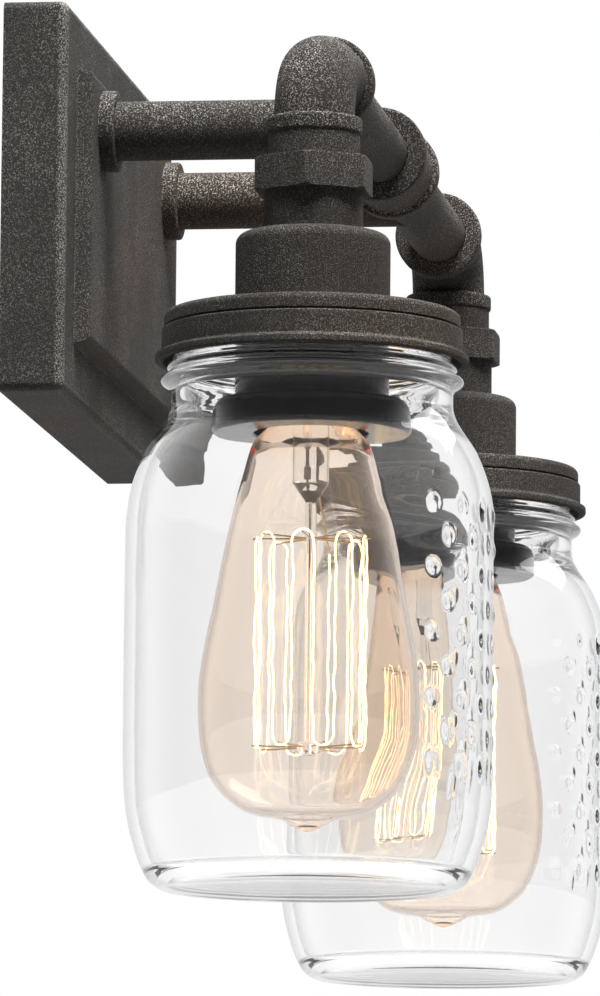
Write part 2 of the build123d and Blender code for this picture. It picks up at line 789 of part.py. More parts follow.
    # Lamp stem: flared glass foot closing the neck, with a long core rod and a button at its end
    stem_top = lamp_base_foot + lamp_seal
    stem_foot = lamp_base_foot - stem_length
    core_foot = lamp_tip + core_to_tip
    flare = neck_radius - lamp_glass - seat_gap
    stem_round = stem_radius / 2
    button_round = core_radius / 3
    with BuildPart() as lamp_stem:
        with BuildSketch(stack_plane(sign)):
            with BuildLine():
                FilletPolyline(
                    (0, stem_top),
                    (flare, stem_top),
                    (flare, stem_top - lamp_glass),
                    (stem_radius, stem_top - stem_radius),
                    (stem_radius, stem_foot),
                    (core_radius, stem_foot - stem_radius),
                    (core_radius, core_foot + core_button),
                    (core_button_radius, core_foot + core_button),
                    (core_button_radius, core_foot),
                    (0, core_foot),
                    radius=[0, 0, 0, stem_round, core_radius, core_radius, 0, button_round, core_radius, 0],
                    close=True,
                )
            make_face()
        revolve(axis=stack_axis(sign))
    keep(lamp_stem, f"lamp_stem_{side}")

    # Lamp filament: one strand that runs up and down round a cage, with a half turn over each hook
    cage_ceiling = lamp_base_foot - cage_top
    cage_floor = core_foot + cage_above_core_foot
    half_turn = cage_radius * sin(pi / cage_runs)
    posts = []
    for index in range(cage_runs):
        angle = 2 * pi * (index + 0.5) / cage_runs
        posts.append((sign * lamp_x + cage_radius * cos(angle), bar_y + cage_radius * sin(angle)))
    with BuildPart() as lamp_filament:
        with BuildLine() as strand:
            for index, (x, y) in enumerate(posts):
                down = index % 2 == 0
                first, last = (cage_ceiling, cage_floor) if down else (cage_floor, cage_ceiling)
                Line((x, y, first), (x, y, last))
                if index + 1 < cage_runs:
                    next_x, next_y = posts[index + 1]
                    crest = last - half_turn if down else last + half_turn
                    ThreePointArc(
                        (x, y, last),
                        ((x + next_x) / 2, (y + next_y) / 2, crest),
                        (next_x, next_y, last),
                    )
        with BuildSketch(Plane(origin=(*posts[0], cage_ceiling), z_dir=(0, 0, -1))):
            Circle(strand_radius)
        sweep(path=strand.line)
    keep(lamp_filament, f"lamp_filament_{side}")
    strand_wire = strand.wires()[0]
    samples = [tuple(strand_wire @ (step / gap_samples)) for step in range(gap_samples + 1)]
    turn_steps = int(gap_samples * pi * half_turn / strand_wire.length) + 1
    nearest = min(dist(a, b) for step, a in enumerate(samples) for b in samples[step + turn_steps:])
    print(f"{side} filament: least gap to itself {nearest - 2 * strand_radius:.2f} mm")

    # Lamp supports: spokes from the core to the hooks, and the two feeds to the ends of the strand
    hook_radius = cage_radius * cos(pi / cage_runs)
    hook_inside = half_turn - strand_radius - wire_radius - seat_gap
    with BuildPart() as lamp_supports:
        for index in range(1, cage_runs):
            below = index % 2 == 1
            angle = 2 * pi * index / cage_runs
            level = cage_floor - hook_inside if below else cage_ceiling + hook_inside
            hub = (core_button_radius if below else core_radius) + seat_gap
            spoke = Vector(cos(angle), sin(angle), 0)
            root = Vector(sign * lamp_x, bar_y, level) + spoke * hub
            with BuildSketch(Plane(origin=root, z_dir=spoke)):
                Circle(wire_radius)
            extrude(amount=hook_radius + half_turn / 2 - hub)
        for x, y in (posts[0], posts[-1]):
            start = Vector(x, y, cage_ceiling + seat_gap)
            outward = Vector(x - sign * lamp_x, y - bar_y, 0).normalized()
            feed = Vector(sign * lamp_x, bar_y, stem_foot) + outward * (stem_radius + seat_gap) - start
            with BuildSketch(Plane(origin=start, z_dir=feed)):
                Circle(wire_radius)
            extrude(amount=feed.length)
    keep(lamp_supports, f"lamp_supports_{side}")

    # Lamp leads: two insulated wires from the socket through rod, elbow, bar and arm into the pan
    lead_level = arm_level - sign * lead_spacing / 2
    with BuildPart() as lamp_leads:
        for lane in (-1, 1):
            lane_shift = lane * lead_spacing / 2
            lane_y = bar_y + lane_shift
            lane_x = sign * (arm_x + lane_shift)
            wall_y = -(lead_from_wall + lead_spacing * (1 - lane) / 2)
            end_x = sign * lead_spacing / 2 - lane * connector_x
            route = [
                (sign * lamp_x, lane_y, socket_top - rod_in_socket),
                (sign * lamp_x, lane_y, lead_level),
                (lane_x, lane_y, lead_level),
                (lane_x, wall_y, lead_level),
                (end_x, wall_y, lead_level),
                (end_x, wall_y, connector_mouth - connector_depth),
            ]
            arm_bend = lead_bend + lead_spacing * (1 - lane) / 2
            pan_bend = lead_bend + lead_spacing * (1 + lane) / 2
            with BuildLine() as lead_line:
                FilletPolyline(*route, radius=[lead_elbow_bend, arm_bend, pan_bend, lead_bend])
            with BuildSketch(Plane(origin=route[0], z_dir=(0, 0, 1))):
                Circle(lead_radius)
            sweep(path=lead_line.line)
    keep(lamp_leads, f"lamp_leads_{side}")
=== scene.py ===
from math import atan2, cos, hypot, pi, radians, sin

import bmesh
import bpy
from mathutils import Matrix, Vector


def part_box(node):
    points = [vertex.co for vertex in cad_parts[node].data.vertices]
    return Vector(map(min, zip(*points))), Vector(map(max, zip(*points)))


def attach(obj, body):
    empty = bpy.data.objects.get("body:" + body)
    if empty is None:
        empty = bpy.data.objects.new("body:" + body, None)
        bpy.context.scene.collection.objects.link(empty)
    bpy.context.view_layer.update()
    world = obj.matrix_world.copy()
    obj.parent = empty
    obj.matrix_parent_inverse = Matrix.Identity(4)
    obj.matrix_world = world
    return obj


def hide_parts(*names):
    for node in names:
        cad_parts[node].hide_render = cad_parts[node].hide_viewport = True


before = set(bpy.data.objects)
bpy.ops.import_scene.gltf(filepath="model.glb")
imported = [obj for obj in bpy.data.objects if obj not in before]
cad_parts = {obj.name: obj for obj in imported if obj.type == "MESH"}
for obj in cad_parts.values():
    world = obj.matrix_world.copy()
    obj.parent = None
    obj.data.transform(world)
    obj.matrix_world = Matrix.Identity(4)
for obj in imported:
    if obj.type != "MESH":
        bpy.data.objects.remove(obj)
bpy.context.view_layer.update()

# Wall pan: pressed from sheet steel with a raised panel, open at the back, and screwed to the strap's ears.
# It is sprayed with a rustic bronze paint: a dark coat with browner patches and a fine grain. The glints on
# the grain are painted highlights, light flecks in the paint's colour, most of them on edges and on faces that
# look up.


def math_node(tree, operation, first, second=None, third=None):
    """One Math node; each operand is a number or another node's output."""
    node = tree.nodes.new("ShaderNodeMath")
    node.operation = operation
    for socket, operand in zip(node.inputs, (first, second, third)):
        if operand is None:
            continue
        if isinstance(operand, (int, float)):
            socket.default_value = operand
        else:
            tree.links.new(operand, socket)
    return node.outputs[0]


def noise_node(tree, vector, scale, detail, roughness=0.5):
    """Noise over the given coordinates; the scale is a number or another node's output."""
    node = tree.nodes.new("ShaderNodeTexNoise")
    node.inputs["Detail"].default_value = detail
    node.inputs["Roughness"].default_value = roughness
    tree.links.new(vector, node.inputs["Vector"])
    if isinstance(scale, (int, float)):
        node.inputs["Scale"].default_value = scale
    else:
        tree.links.new(scale, node.inputs["Scale"])
    return node.outputs["Fac"]


def range_node(tree, value, low, high, low_out=0.0, high_out=1.0):
    """A smooth step from one range of values to another."""
    node = tree.nodes.new("ShaderNodeMapRange")
    node.interpolation_type = "SMOOTHSTEP"
    for name, number in (("From Min", low), ("From Max", high), ("To Min", low_out), ("To Max", high_out)):
        node.inputs[name].default_value = number
    tree.links.new(value, node.inputs["Value"])
    return node.outputs["Result"]


def mix_node(tree, factor, first, second):
    """Colour mix; the two colours are tuples or other nodes' outputs."""
    node = tree.nodes.new("ShaderNodeMix")
    node.data_type = "RGBA"
    tree.links.new(factor, node.inputs["Factor"])
    for socket, colour in ((node.inputs[6], first), (node.inputs[7], second)):
        if isinstance(colour, tuple):
            socket.default_value = (*colour, 1.0)
        else:
            tree.links.new(colour, socket)
    return node.outputs[2]


def grainy_paint_group():
    """Painted highlight glints on the grains, worn patches and height of a paint with a fine cast grain."""
    group = bpy.data.node_groups.new("grainy_paint", "ShaderNodeTree")
    for name, kind, value in (
        ("Vector", "NodeSocketVector", None),
        ("Grain Scale", "NodeSocketFloat", 1100.0),
        ("Ground", "NodeSocketColor", (0.05, 0.047, 0.045, 1)),
        ("Worn", "NodeSocketColor", (0.075, 0.05, 0.04, 1)),
        ("Glint", "NodeSocketColor", (0.52, 0.5, 0.46, 1)),
        ("Glint Share", "NodeSocketFloat", 0.6),
        ("Edge Highlight", "NodeSocketFloat", 0.0),
        ("Lit From Above", "NodeSocketFloat", 1.0),
    ):
        socket = group.interface.new_socket(name=name, in_out="INPUT", socket_type=kind)
        if value is not None:
            socket.default_value = value
    for name, kind in (
        ("Color", "NodeSocketColor"),
        ("Roughness", "NodeSocketFloat"),
        ("Height", "NodeSocketFloat"),
    ):
        group.interface.new_socket(name=name, in_out="OUTPUT", socket_type=kind)
    made = group.nodes.new("NodeGroupInput").outputs
    out = group.nodes.new("NodeGroupOutput")
    finer_share = 2.3
    cloud_scale = 30.0
    patch_scale = 14.0
    edge_thickens = 0.45
    edge_coarsens = 0.05
    glint_shows = (0.5, 0.69)
    patch_shows = (0.46, 0.66)
    place = made["Vector"]
    grain = noise_node(group, place, made["Grain Scale"], detail=2.0, roughness=0.6)
    finer_scale = math_node(group, "MULTIPLY", made["Grain Scale"], finer_share)
    finer = noise_node(group, place, finer_scale, detail=1.0)
    clouds = noise_node(group, place, cloud_scale, detail=3.0)
    patches = noise_node(group, place, patch_scale, detail=4.0)
    thick = range_node(group, clouds, 0.35, 0.65, 0.35, 1.0)
    thick = math_node(group, "MULTIPLY_ADD", made["Edge Highlight"], edge_thickens, thick)
    glint = math_node(group, "MULTIPLY_ADD", made["Edge Highlight"], edge_coarsens, grain)
    glint = range_node(group, glint, *glint_shows)
    # Painted highlight and shade: more glints where the face looks up, fewer where it looks down.
    for share in (thick, made["Glint Share"], made["Lit From Above"]):
        glint = math_node(group, "MULTIPLY", glint, share)
    glint = math_node(group, "MINIMUM", glint, 1.0)
    worn = range_node(group, patches, *patch_shows)
    ground = mix_node(group, worn, made["Ground"], made["Worn"])
    # Painted highlight: the glints are a light colour mixed into the paint's own colour.
    colour = mix_node(group, glint, ground, made["Glint"])
    rough = math_node(group, "MULTIPLY_ADD", grain, -0.4, 0.85)
    height = math_node(group, "MULTIPLY_ADD", finer, 0.5, grain)
    group.links.new(colour, out.inputs["Color"])
    group.links.new(rough, out.inputs["Roughness"])
    group.links.new(height, out.inputs["Height"])
    return group


def new_material(name):
    """A material with only its Principled shader and output, and its Object coordinates."""
    material = bpy.data.materials.new(name)
    material.use_nodes = True
    tree = material.node_tree
    place = tree.nodes.new("ShaderNodeTexCoord").outputs["Object"]
    return material, tree, tree.nodes["Principled BSDF"], place


def bump_into(tree, shader, height, distance, strength):
    """A Bump node between a height and a shader's Normal."""
    bump = tree.nodes.new("ShaderNodeBump")
    bump.inputs["Distance"].default_value = distance
    bump.inputs["Strength"].default_value = strength
    tree.links.new(height, bump.inputs["Height"])
    tree.links.new(bump.outputs["Normal"], shader.inputs["Normal"])
    return bump


grainy_paint = grainy_paint_group()


def bronze_paint(name, ground, worn, glint_share, grain_scale, edge_radius):
    """The bronze paint in its own two colours, with every edge softened, full of grains and painted highlight
    glints.
    """
    material, tree, shader, place = new_material(name)
    coat = tree.nodes.new("ShaderNodeGroup")
    coat.node_tree = grainy_paint
    coat.inputs["Ground"].default_value = (*ground, 1)
    coat.inputs["Worn"].default_value = (*worn, 1)
    coat.inputs["Glint Share"].default_value = glint_share
    coat.inputs["Grain Scale"].default_value = grain_scale
    tree.links.new(place, coat.inputs["Vector"])
    tree.links.new(coat.outputs["Color"], shader.inputs["Base Color"])
    tree.links.new(coat.outputs["Roughness"], shader.inputs["Roughness"])
    shader.inputs["Metallic"].default_value = 0.0
    shader.inputs["Specular IOR Level"].default_value = 0.05
    soft_edge = tree.nodes.new("ShaderNodeBevel")
    soft_edge.samples = 6
    soft_edge.inputs["Radius"].default_value = edge_radius
    turned_away = tree.nodes.new("ShaderNodeVectorMath")
    turned_away.operation = "DOT_PRODUCT"
    tree.links.new(soft_edge.outputs["Normal"], turned_away.inputs[0])
    face = tree.nodes.new("ShaderNodeNewGeometry").outputs["Normal"]
    tree.links.new(face, turned_away.inputs[1])
    upward = tree.nodes.new("ShaderNodeSeparateXYZ")
    tree.links.new(face, upward.inputs[0])
    # Painted highlight and shade: faces that look up get more painted glints, faces that look down fewer and
    # stay darker.
    tree.links.new(range_node(tree, upward.outputs["Z"], -0.6, 0.6, 0.25, 1.15), coat.inputs["Lit From Above"])
    # Painted highlight: the band along each edge, found from the Bevel normal, gets thicker painted glints.
    tree.links.new(range_node(tree, turned_away.outputs["Value"], 0.86, 0.995, 1.0, 0.0), coat.inputs["Edge Highlight"])
    grain_bump = bump_into(tree, shader, coat.outputs["Height"], distance=0.0008, strength=0.8)
    tree.links.new(soft_edge.outputs["Normal"], grain_bump.inputs["Normal"])
    return material


def finish_node(name, material):
    """The material on a solid that stays as it is."""
    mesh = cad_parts[name].data
    mesh.materials.clear()
    mesh.materials.append(material)


pan_round = 0.0026
pan_depth = 0.0193
edge_fade = 0.0006
pan_paint = bronze_paint("pan_paint", ground=(0.046, 0.044, 0.041), worn=(0.056, 0.04, 0.032),
                         glint_share=0.7, grain_scale=2500.0, edge_radius=0.0016)
finish_node("wall_pan", pan_paint)
pan_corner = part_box("wall_pan")[1]
pan_tree = pan_paint.node_tree
pan_spot = pan_tree.nodes.new("ShaderNodeSeparateXYZ")
pan_tree.links.new(pan_tree.nodes.new("ShaderNodeTexCoord").outputs["Object"], pan_spot.inputs[0])


def past_round(along, reach):
    """How far a spot on the pan lies past the start of the round at its sides, or at its top and bottom."""
    out = math_node(pan_tree, "ABSOLUTE", pan_spot.outputs[along])
    return math_node(pan_tree, "SUBTRACT", out, reach - pan_round)


# Painted highlight: the pan's rounded edges get more painted glints than its faces.
past_edge = math_node(pan_tree, "MAXIMUM", past_round("X", pan_corner.x), past_round("Z", pan_corner.z))
past_front = math_node(pan_tree, "MULTIPLY_ADD", pan_spot.outputs["Y"], -1.0, pan_round - pan_depth)
round_highlight = range_node(pan_tree, math_node(pan_tree, "MINIMUM", past_front, past_edge), -edge_fade, edge_fade)
edge_link = next(link for link in pan_tree.links if link.to_socket.name == "Edge Highlight")
pan_tree.links.new(math_node(pan_tree, "MAXIMUM", edge_link.from_socket, round_highlight), edge_link.to_socket)

# Strap and fasteners inside the pan: the strap is punched and bent from zinc-plated steel strip and screwed
# to the wall box, and plated nuts lock the arms and the threaded rods.
# The ground screw is dyed green, and the pan screws on the top edge are painted with the pan.
zinc, zinc_tree, zinc_shader, zinc_place = new_material("zinc_plate")
zinc_spangle = noise_node(zinc_tree, zinc_place, 260.0, 4.0)
zinc_colour = mix_node(zinc_tree, range_node(zinc_tree, zinc_spangle, 0.35, 0.65),
                       (0.5, 0.5, 0.48), (0.68, 0.67, 0.63))
zinc_roughness = range_node(zinc_tree, zinc_spangle, 0.3, 0.7, 0.26, 0.46)
zinc_tree.links.new(zinc_colour, zinc_shader.inputs["Base Color"])
zinc_tree.links.new(zinc_roughness, zinc_shader.inputs["Roughness"])
zinc_shader.inputs["Metallic"].default_value = 1.0
zinc_grain = noise_node(zinc_tree, zinc_place, 900.0, detail=3.0)
bump_into(zinc_tree, zinc_shader, zinc_grain, distance=0.0001, strength=0.3)
for name in ("mounting_strap", "arm_nuts", "rod_nuts", "threaded_rod_left", "threaded_rod_right"):
    finish_node(name, zinc)
finish_node("pan_screws", pan_paint)

green, green_tree, green_shader, green_place = new_material("green_dye")
green_mottle = range_node(green_tree, noise_node(green_tree, green_place, 500.0, 3.0), 0.3, 0.7)
green_tree.links.new(mix_node(green_tree, green_mottle, (0.02, 0.16, 0.05), (0.05, 0.28, 0.09)),
                     green_shader.inputs["Base Color"])
green_shader.inputs["Metallic"].default_value = 0.7
green_shader.inputs["Roughness"].default_value = 0.35
finish_node("ground_screw", green)

# Wires in the pan: bare copper for the ground, and black plastic over the lamps' leads, which come in
# through the arms. The twist-on caps that join them are moulded orange plastic.
SIDES = ("left", "right")


def mottled(name, first, second, scale, metallic, roughness):
    """A finish that wanders between two close colours."""
    material, tree, shader, place = new_material(name)
    mottle = range_node(tree, noise_node(tree, place, scale, 3.0), 0.35, 0.65)
    tree.links.new(mix_node(tree, mottle, first, second), shader.inputs["Base Color"])
    shader.inputs["Metallic"].default_value = metallic
    shader.inputs["Roughness"].default_value = roughness
    return material


bare_copper = mottled("bare_copper", (0.62, 0.3, 0.17), (0.75, 0.42, 0.27),
                      scale=400.0, metallic=1.0, roughness=0.32)
lead_cover = mottled("lead_cover", (0.02, 0.02, 0.021), (0.045, 0.045, 0.047),
                     scale=300.0, metallic=0.0, roughness=0.42)
connector_cap = mottled("connector_cap", (0.72, 0.25, 0.04), (0.8, 0.32, 0.07),
                        scale=250.0, metallic=0.0, roughness=0.45)
finish_node("ground_wire", bare_copper)
finish_node("wire_connectors", connector_cap)
for side in SIDES:
    finish_node(f"lamp_leads_{side}", lead_cover)

# Arms, bar and fittings: steel tube and cast fittings, screwed together, in the same paint with a coarser
# grain. The unions, spacers, cups and lids of each stack are turned or spun, a little browner, and held
# together by the threaded rod.
pipe_paint = bronze_paint("pipe_paint", ground=(0.036, 0.032, 0.029), worn=(0.047, 0.034, 0.026),
                          glint_share=1.0, grain_scale=2200.0, edge_radius=0.0012)
cup_paint = bronze_paint("cup_paint", ground=(0.044, 0.04, 0.037), worn=(0.053, 0.041, 0.033),
                         glint_share=0.55, grain_scale=2600.0, edge_radius=0.0012)
finish_node("bar_coupling", pipe_paint)
for side in SIDES:
    for name in ("arm_tube", "arm_flange", "bar_tube", "elbow"):
        finish_node(f"{name}_{side}", pipe_paint)
    for name in ("hex_union", "spacer", "socket_cup", "jar_lid"):
        finish_node(f"{name}_{side}", cup_paint)

# Sockets: a black moulded barrel that hangs from the threaded rod, with a screw-on retaining ring under the
# lid, and a drawn brass shell and contact inside.
# A rubber gasket lies in the lid, and the jar's rim is screwed up against it.
moulding, moulding_tree, moulding_shader, moulding_place = new_material("black_moulding")
moulding_mottle = range_node(moulding_tree, noise_node(moulding_tree, moulding_place, 120.0, 3.0), 0.3, 0.7)
moulding_colour = mix_node(moulding_tree, moulding_mottle, (0.006, 0.006, 0.006), (0.012, 0.011, 0.011))
moulding_roughness = range_node(moulding_tree, moulding_mottle, 0.0, 1.0, 0.08, 0.16)
moulding_tree.links.new(moulding_colour, moulding_shader.inputs["Base Color"])
moulding_tree.links.new(moulding_roughness, moulding_shader.inputs["Roughness"])
moulding_shader.inputs["Specular IOR Level"].default_value = 0.22
brass, brass_tree, brass_shader, brass_place = new_material("drawn_brass")
brass_stain = range_node(brass_tree, noise_node(brass_tree, brass_place, 180.0, 4.0), 0.35, 0.7)
brass_tree.links.new(mix_node(brass_tree, brass_stain, (0.78, 0.56, 0.24), (0.6, 0.4, 0.16)),
                     brass_shader.inputs["Base Color"])
brass_roughness = range_node(brass_tree, brass_stain, 0.0, 1.0, 0.22, 0.4)
brass_tree.links.new(brass_roughness, brass_shader.inputs["Roughness"])
brass_shader.inputs["Metallic"].default_value = 1.0
rubber = mottled("gasket_rubber", (0.018, 0.018, 0.018), (0.035, 0.034, 0.033),
                 scale=600.0, metallic=0.0, roughness=0.75)
for side in SIDES:
    for name in ("socket_body", "retaining_ring", "lamp_insulator"):
        finish_node(f"{name}_{side}", moulding)
    for name in ("screw_shell", "centre_contact"):
        finish_node(f"{name}_{side}", brass)
    finish_node(f"jar_gasket_{side}", rubber)

# Jars: clear pressed glass, one piece, with a beaded neck, a pushed-up foot and a thread that screws into
# the lid. The front of the body carries a field of staggered hobnails, pressed in the same mould.
jar_rim = {"inner": 0.0364, "outer": 0.0398}
jar_neck_radius = 0.0404
jar_bead_radius = 0.0434
jar_body_radius = 0.0528
jar_wall = 0.0032
jar_foot_radius = 0.042
jar_below_top = {"lid_foot": 0.0115, "ridge": 0.0131, "groove": 0.0144, "bead": 0.0167, "bead_foot": 0.0199,
                 "shoulder": 0.0233, "body": 0.063}
jar_above_foot = {"heel": 0.048, "floor": 0.005, "push_up": 0.0025, "foot": 0.0}
lip_inset = 0.0006
lip_round = ((0.0012, 0.0), (0.0003, 0.0004), (0.0, 0.0014))
neck_swell = {"lid_foot": -0.0002, "ridge": 0.0011, "groove": 0.0002}
neck_run = 0.0008
throat_run = 0.001
shoulder_shares = ((0, 0), (0.61, 0.38), (0.9, 0.65), (1, 1))
heel_shares = ((0, 0), (0.065, 0.48), (0.28, 0.73), (0.65, 0.935), (1, 1))
foot_ring = 0.0025
floor_inset = 0.0055
dish_shares = (0.97, 0.9, 0.8, 0.65, 0.5, 0.3, 0.15, 0)
thread_pitch = 0.00635
thread_height = 0.0005
thread_band = {"below_top": 0.0018, "above_lid_foot": 0.0004}
thread_ends = {"below_top": 0.002, "above_lid_foot": 0.001, "off_rim": 0.0001}
hobnail = {"Pitch Across": 0.0125, "Pitch Up": 0.0092, "Radius": 0.0026, "Height": 0.0006,
           "Half Width": 0.042, "Half Height": 0.042, "Fade": 0.035, "Skin": 0.0025}
hobnails_lower = 0.004
down, up, inwards = (0, -1), (0, 1), (-1, 0)


def curve_through(points, start, end, steps):
    """Smooth run through profile points with given end directions, as points for a turned shape."""
    spots = [Vector(point) for point in points]
    ways = [Vector(start).normalized() * (spots[1] - spots[0]).length]
    for before, after in zip(spots, spots[2:]):
        ways.append((after - before) / 2)
    ways.append(Vector(end).normalized() * (spots[-1] - spots[-2]).length)
    run = []
    for index in range(len(spots) - 1):
        a, b = spots[index], spots[index + 1]
        scale = (b - a).length
        first = ways[index].normalized() * scale
        last = ways[index + 1].normalized() * scale
        for step in range(steps):
            t = step / steps
            run.append(a * (2 * t**3 - 3 * t**2 + 1) + first * (t**3 - 2 * t**2 + t)
                       + b * (3 * t**2 - 2 * t**3) + last * (t**3 - t**2))
    run.append(spots[-1])
    return [(point.x, point.y) for point in run]


def straight(first, last, step):
    """Points along a straight stretch of a profile, both ends included."""
    count = max(1, round(hypot(last[0] - first[0], last[1] - first[1]) / step))
    return [tuple(Vector(first).lerp(Vector(last), index / count)) for index in range(count + 1)]


def turned(name, profile, angles, axis):
    """A closed profile of (radius, level) points turned about an upright axis, which it may touch."""
    work = bmesh.new()
    rings = []
    for radius, level in profile:
        if radius < 1e-7:
            rings.append([work.verts.new((axis.x, axis.y, level))] * len(angles))
            continue
        rings.append([work.verts.new((axis.x + radius * sin(angle), axis.y - radius * cos(angle), level))
                      for angle in angles])
    for upper, lower in zip(rings, rings[1:] + rings[:1]):
        for index in range(len(angles)):
            after = (index + 1) % len(angles)
            corners = [upper[index], lower[index], lower[after], upper[after]]
            corners = [corner for place, corner in enumerate(corners) if corner not in corners[:place]]
            if len(corners) > 2:
                work.faces.new(corners)
    bmesh.ops.recalc_face_normals(work, faces=work.faces)
    mesh = bpy.data.meshes.new(name)
    work.to_mesh(mesh)
    work.free()
    mesh.shade_smooth()
    mesh.set_sharp_from_angle(angle=radians(40))
    piece = bpy.data.objects.new(name, mesh)
    bpy.context.scene.collection.objects.link(piece)
    return piece


def set_inputs(modifier, values):
    """Sets a Geometry Nodes modifier's inputs by their sockets' identifiers."""
    for item in modifier.node_group.interface.items_tree:
        if item.item_type == "SOCKET" and item.in_out == "INPUT" and item.name in values:
            modifier[item.identifier] = values[item.name]


def plain_mesh(piece):
    """Turns a piece's evaluated shape into its own mesh and removes the modifiers."""
    graph = bpy.context.evaluated_depsgraph_get()
    made = bpy.data.meshes.new_from_object(
        piece.evaluated_get(graph), preserve_all_data_layers=True, depsgraph=graph)
    piece.modifiers.clear()
    if piece.type == "MESH":
        piece.data = made
        return piece
    solid = bpy.data.objects.new(piece.name, made)
    bpy.data.objects.remove(piece)
    bpy.context.scene.collection.objects.link(solid)
    return solid


def hobnail_tree(material):
    """Staggered domes on the outer wall of a jar, which is a little flatter there so that they end flush."""
    tree = bpy.data.node_groups.new("hobnail_field", "GeometryNodeTree")
    tree.interface.new_socket(name="Geometry", in_out="INPUT", socket_type="NodeSocketGeometry")
    for name in ("Axis X", "Axis Y", "Middle", "Wall Radius", *hobnail):
        tree.interface.new_socket(name=name, in_out="INPUT", socket_type="NodeSocketFloat")
    tree.interface.new_socket(name="Geometry", in_out="OUTPUT", socket_type="NodeSocketGeometry")
    given = tree.nodes.new("NodeGroupInput").outputs
    place = tree.nodes.new("ShaderNodeSeparateXYZ")
    tree.links.new(tree.nodes.new("GeometryNodeInputPosition").outputs[0], place.inputs[0])
    out_x = math_node(tree, "SUBTRACT", place.outputs[0], given["Axis X"])
    out_y = math_node(tree, "SUBTRACT", place.outputs[1], given["Axis Y"])
    radius = math_node(tree, "SQRT", math_node(
        tree, "MULTIPLY_ADD", out_x, out_x, math_node(tree, "MULTIPLY", out_y, out_y)))
    angle = math_node(tree, "ARCTAN2", out_x, math_node(tree, "MULTIPLY", out_y, -1.0))
    across = math_node(tree, "MULTIPLY", angle, given["Wall Radius"])
    up = math_node(tree, "SUBTRACT", place.outputs[2], given["Middle"])
    row = math_node(tree, "ROUND", math_node(tree, "DIVIDE", up, given["Pitch Up"]))
    stagger = math_node(tree, "MULTIPLY", math_node(tree, "FLOORED_MODULO", row, 2.0), 0.5)
    column = math_node(tree, "SUBTRACT", math_node(tree, "DIVIDE", across, given["Pitch Across"]), stagger)
    column = math_node(tree, "ADD", math_node(tree, "ROUND", column), stagger)
    dome_across = math_node(tree, "MULTIPLY", column, given["Pitch Across"])
    dome_up = math_node(tree, "MULTIPLY", row, given["Pitch Up"])
    off_across = math_node(tree, "SUBTRACT", across, dome_across)
    off_up = math_node(tree, "SUBTRACT", up, dome_up)
    away = math_node(tree, "SQRT", math_node(
        tree, "MULTIPLY_ADD", off_across, off_across, math_node(tree, "MULTIPLY", off_up, off_up)))
    share = math_node(tree, "DIVIDE", away, given["Radius"])
    dome = math_node(tree, "MAXIMUM", math_node(
        tree, "SUBTRACT", 1.0, math_node(tree, "MULTIPLY", share, share)), 0.0)
    inside = math_node(tree, "MULTIPLY", math_node(
        tree, "LESS_THAN", math_node(tree, "ABSOLUTE", dome_across), given["Half Width"]), math_node(
        tree, "LESS_THAN", math_node(tree, "ABSOLUTE", dome_up), given["Half Height"]))
    dome = math_node(tree, "MULTIPLY", dome, inside)
    beyond = math_node(tree, "SUBTRACT", math_node(tree, "ABSOLUTE", across), given["Half Width"])
    panel = range_node(tree, math_node(tree, "DIVIDE", beyond, given["Fade"]), 0.0, 1.0, 1.0, 0.0)
    full = math_node(tree, "SUBTRACT", radius, math_node(
        tree, "SUBTRACT", given["Wall Radius"], given["Height"]))
    full = math_node(tree, "MAXIMUM", full, 0.0)
    sink = math_node(tree, "MULTIPLY", math_node(
        tree, "DIVIDE", math_node(tree, "MULTIPLY", full, full), given["Height"]), panel)
    outer = math_node(tree, "GREATER_THAN", radius, math_node(
        tree, "SUBTRACT", given["Wall Radius"], given["Skin"]))
    rise = math_node(tree, "MULTIPLY_ADD", dome, given["Height"], math_node(tree, "MULTIPLY", sink, -1.0))
    rise = math_node(tree, "MINIMUM", rise, math_node(tree, "SUBTRACT", given["Wall Radius"], radius))
    rise = math_node(tree, "MULTIPLY", rise, outer)
    step = tree.nodes.new("ShaderNodeCombineXYZ")
    for out, socket in ((out_x, step.inputs[0]), (out_y, step.inputs[1])):
        tree.links.new(math_node(tree, "MULTIPLY", math_node(tree, "DIVIDE", out, radius), rise), socket)
    moved = tree.nodes.new("GeometryNodeSetPosition")
    tree.links.new(given["Geometry"], moved.inputs["Geometry"])
    tree.links.new(step.outputs[0], moved.inputs["Offset"])
    realised = tree.nodes.new("GeometryNodeRealizeInstances")
    tree.links.new(moved.outputs[0], realised.inputs[0])
    dressed = tree.nodes.new("GeometryNodeSetMaterial")
    dressed.inputs["Material"].default_value = material
    tree.links.new(realised.outputs[0], dressed.inputs["Geometry"])
    tree.links.new(dressed.outputs[0], tree.nodes.new("NodeGroupOutput").inputs[0])
    return tree


def clear_glass(name, tint, density, rim, shaded_rim_reach, ior, ripple_scale, ripple):
    """Glass that darkens along the way through it and has a painted shade towards its rim, with the slight
    ripple of a mould.
    """
    material, tree, shader, place = new_material(name)
    # Painted shade: the colour turns from white to the rim colour where the surface turns away from view, so
    # the outline looks dark.
    facing = tree.nodes.new("ShaderNodeLayerWeight").outputs["Facing"]
    tree.links.new(mix_node(tree, range_node(tree, facing, 1 - shaded_rim_reach, 1.0), (1.0, 1.0, 1.0), rim),
                   shader.inputs["Base Color"])
    shader.inputs["Roughness"].default_value = 0.0
    shader.inputs["IOR"].default_value = ior
    shader.inputs["Transmission Weight"].default_value = 1.0
    absorb = tree.nodes.new("ShaderNodeVolumeAbsorption")
    absorb.inputs["Color"].default_value = (*tint, 1.0)
    absorb.inputs["Density"].default_value = density
    tree.links.new(absorb.outputs[0], tree.nodes["Material Output"].inputs["Volume"])
    ripples = noise_node(tree, place, ripple_scale, detail=2.0)
    bump_into(tree, shader, ripples, distance=0.001, strength=ripple)
    return material


